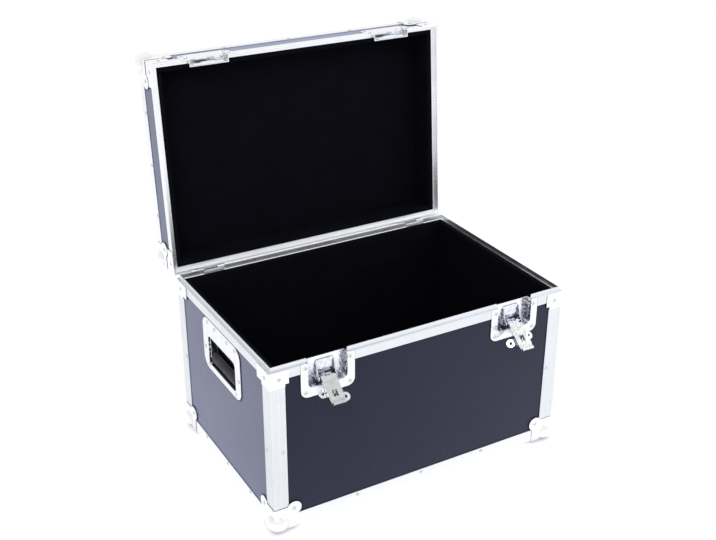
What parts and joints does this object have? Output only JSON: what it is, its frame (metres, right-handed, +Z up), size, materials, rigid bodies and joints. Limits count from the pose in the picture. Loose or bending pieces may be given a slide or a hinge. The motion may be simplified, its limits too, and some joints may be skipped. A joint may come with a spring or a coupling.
{
  "type": "flight case with hinged lid",
  "caption": "Open road case of laminated panels in riveted aluminium edging, with ball corners, recessed butterfly latches, fold-out end handles and a foam-lined hinged lid.",
  "frame": {"origin": "on the floor under the middle of the base", "axes": "+Z up, the latches face -Y, +X to the right as seen from the front"},
  "size_m": [0.618, 0.5797, 0.7319],
  "materials": {
    "laminate": "satin black-violet laminate on plywood",
    "aluminium_trim": "satin anodised, with faint drawing lines",
    "corner_plate": "bright plated pressed steel",
    "latch_plate": "bright nickel plate",
    "rivet": "satin",
    "grip_rubber": "matte",
    "lining": "black foam faced with short pile"
  },
  "bodies": {
    "case_base": {"base_back_panel": "laminate", "base_ball_corners": "corner_plate", "base_bottom_panel": "laminate", "base_foot_angles_long": "aluminium_trim", "base_foot_angles_short": "aluminium_trim", "base_front_panel": "laminate", "base_left_panel": "laminate", "base_lining": "lining", "base_posts": "aluminium_trim", "base_right_panel": "laminate", "base_rim_back": "aluminium_trim", "base_rim_braces": "corner_plate", "base_rim_ends": "aluminium_trim", "base_rim_front": "aluminium_trim", "base_rivets": "rivet", "handle_pins": "latch_plate", "hinge_base_leaves": "latch_plate", "hinge_pins": "latch_plate", "latch_brackets": "latch_plate", "latch_pivot_pins": "latch_plate", "left_handle_dish": "latch_plate", "left_latch_base_pan": "latch_plate", "right_handle_dish": "latch_plate", "right_latch_base_pan": "latch_plate"},
    "lid": {"hinge_lid_leaves": "latch_plate", "latch_keepers": "latch_plate", "left_latch_lid_pan": "latch_plate", "lid_back_panel": "laminate", "lid_ball_corners": "corner_plate", "lid_crown_angles_long": "aluminium_trim", "lid_crown_angles_short": "aluminium_trim", "lid_front_panel": "laminate", "lid_left_panel": "laminate", "lid_lining": "lining", "lid_posts": "aluminium_trim", "lid_right_panel": "laminate", "lid_rim_back": "aluminium_trim", "lid_rim_braces": "corner_plate", "lid_rim_ends": "aluminium_trim", "lid_rim_front": "aluminium_trim", "lid_rivets": "rivet", "lid_top_panel": "laminate", "right_latch_lid_pan": "latch_plate"},
    "left_latch_lever": {"left_latch_arm": "latch_plate"},
    "left_latch_claw": {"left_latch_claw": "latch_plate"},
    "left_butterfly_hub": {"left_butterfly_hub": "latch_plate"},
    "left_butterfly_wing_a": {"left_butterfly_wing_a": "latch_plate"},
    "left_butterfly_wing_b": {"left_butterfly_wing_b": "latch_plate"},
    "right_latch_lever": {"right_latch_arm": "latch_plate"},
    "right_latch_claw": {"right_latch_claw": "latch_plate"},
    "right_butterfly_hub": {"right_butterfly_hub": "latch_plate"},
    "right_butterfly_wing_a": {"right_butterfly_wing_a": "latch_plate"},
    "right_butterfly_wing_b": {"right_butterfly_wing_b": "latch_plate"},
    "left_handle": {"left_handle_bail": "latch_plate", "left_handle_grip": "grip_rubber"},
    "right_handle": {"right_handle_bail": "latch_plate", "right_handle_grip": "grip_rubber"}
  },
  "joints": [
    {"name": "lid_hinge", "type": "hinge", "parent": "case_base", "child": "lid", "pos_m": [0, 0.2064, 0.3239], "axis": [1, 0, 0], "range_deg": [0, 94.7]},
    {"name": "left_latch_swing", "type": "hinge", "parent": "case_base", "child": "left_latch_lever", "pos_m": [-0.192, -0.196, 0.2894], "axis": [-1, 0, 0], "range_deg": [0, 130]},
    {"name": "left_butterfly_turn", "type": "hinge", "parent": "left_latch_lever", "child": "left_butterfly_hub", "pos_m": [-0.192, -0.22205, 0.26754], "axis": [0, 0.6428, -0.766], "range_deg": [-22, 158]},
    {"name": "left_claw_slide", "type": "slide", "parent": "left_latch_lever", "child": "left_latch_claw", "axis": [0, -0.766, -0.6428], "range_m": [-0.00098, 0.00702]},
    {"name": "left_wing_a_fold", "type": "hinge", "parent": "left_butterfly_hub", "child": "left_butterfly_wing_a", "pos_m": [-0.19617, -0.21947, 0.2671], "axis": [-0.3746, -0.7103, -0.596], "range_deg": [0, 90]},
    {"name": "left_wing_b_fold", "type": "hinge", "parent": "left_butterfly_hub", "child": "left_butterfly_wing_b", "pos_m": [-0.18783, -0.22205, 0.26493], "axis": [0.3746, 0.7103, 0.596], "range_deg": [0, 90]},
    {"name": "right_latch_swing", "type": "hinge", "parent": "case_base", "child": "right_latch_lever", "pos_m": [0.192, -0.196, 0.2894], "axis": [-1, 0, 0], "range_deg": [0, 130]},
    {"name": "right_butterfly_turn", "type": "hinge", "parent": "right_latch_lever", "child": "right_butterfly_hub", "pos_m": [0.192, -0.22205, 0.26754], "axis": [0, 0.6428, -0.766], "range_deg": [-174, 6]},
    {"name": "right_claw_slide", "type": "slide", "parent": "right_latch_lever", "child": "right_latch_claw", "axis": [0, -0.766, -0.6428], "range_m": [-0.00773, 0.00027]},
    {"name": "right_wing_a_fold", "type": "hinge", "parent": "right_butterfly_hub", "child": "right_butterfly_wing_a", "pos_m": [0.19648, -0.2204, 0.26632], "axis": [-0.1045, 0.7618, 0.6393], "range_deg": [0, 90]},
    {"name": "right_wing_b_fold", "type": "hinge", "parent": "right_butterfly_hub", "child": "right_butterfly_wing_b", "pos_m": [0.18752, -0.22112, 0.26571], "axis": [0.1045, -0.7618, -0.6393], "range_deg": [-25, 65]},
    {"name": "left_handle_lift", "type": "hinge", "parent": "case_base", "child": "left_handle", "pos_m": [-0.2915, 0, 0.2644], "axis": [0, 1, 0], "range_deg": [0, 90], "stiffness_Nm_per_rad": 0.06},
    {"name": "right_handle_lift", "type": "hinge", "parent": "case_base", "child": "right_handle", "pos_m": [0.2915, 0, 0.2644], "axis": [0, -1, 0], "range_deg": [0, 90], "stiffness_Nm_per_rad": 0.06}
  ],
  "couplings": [
    {"joint": "left_butterfly_turn", "follows": "left_claw_slide", "rad_per_m": 392.7},
    {"joint": "right_butterfly_turn", "follows": "right_claw_slide", "rad_per_m": 392.7}
  ]
}
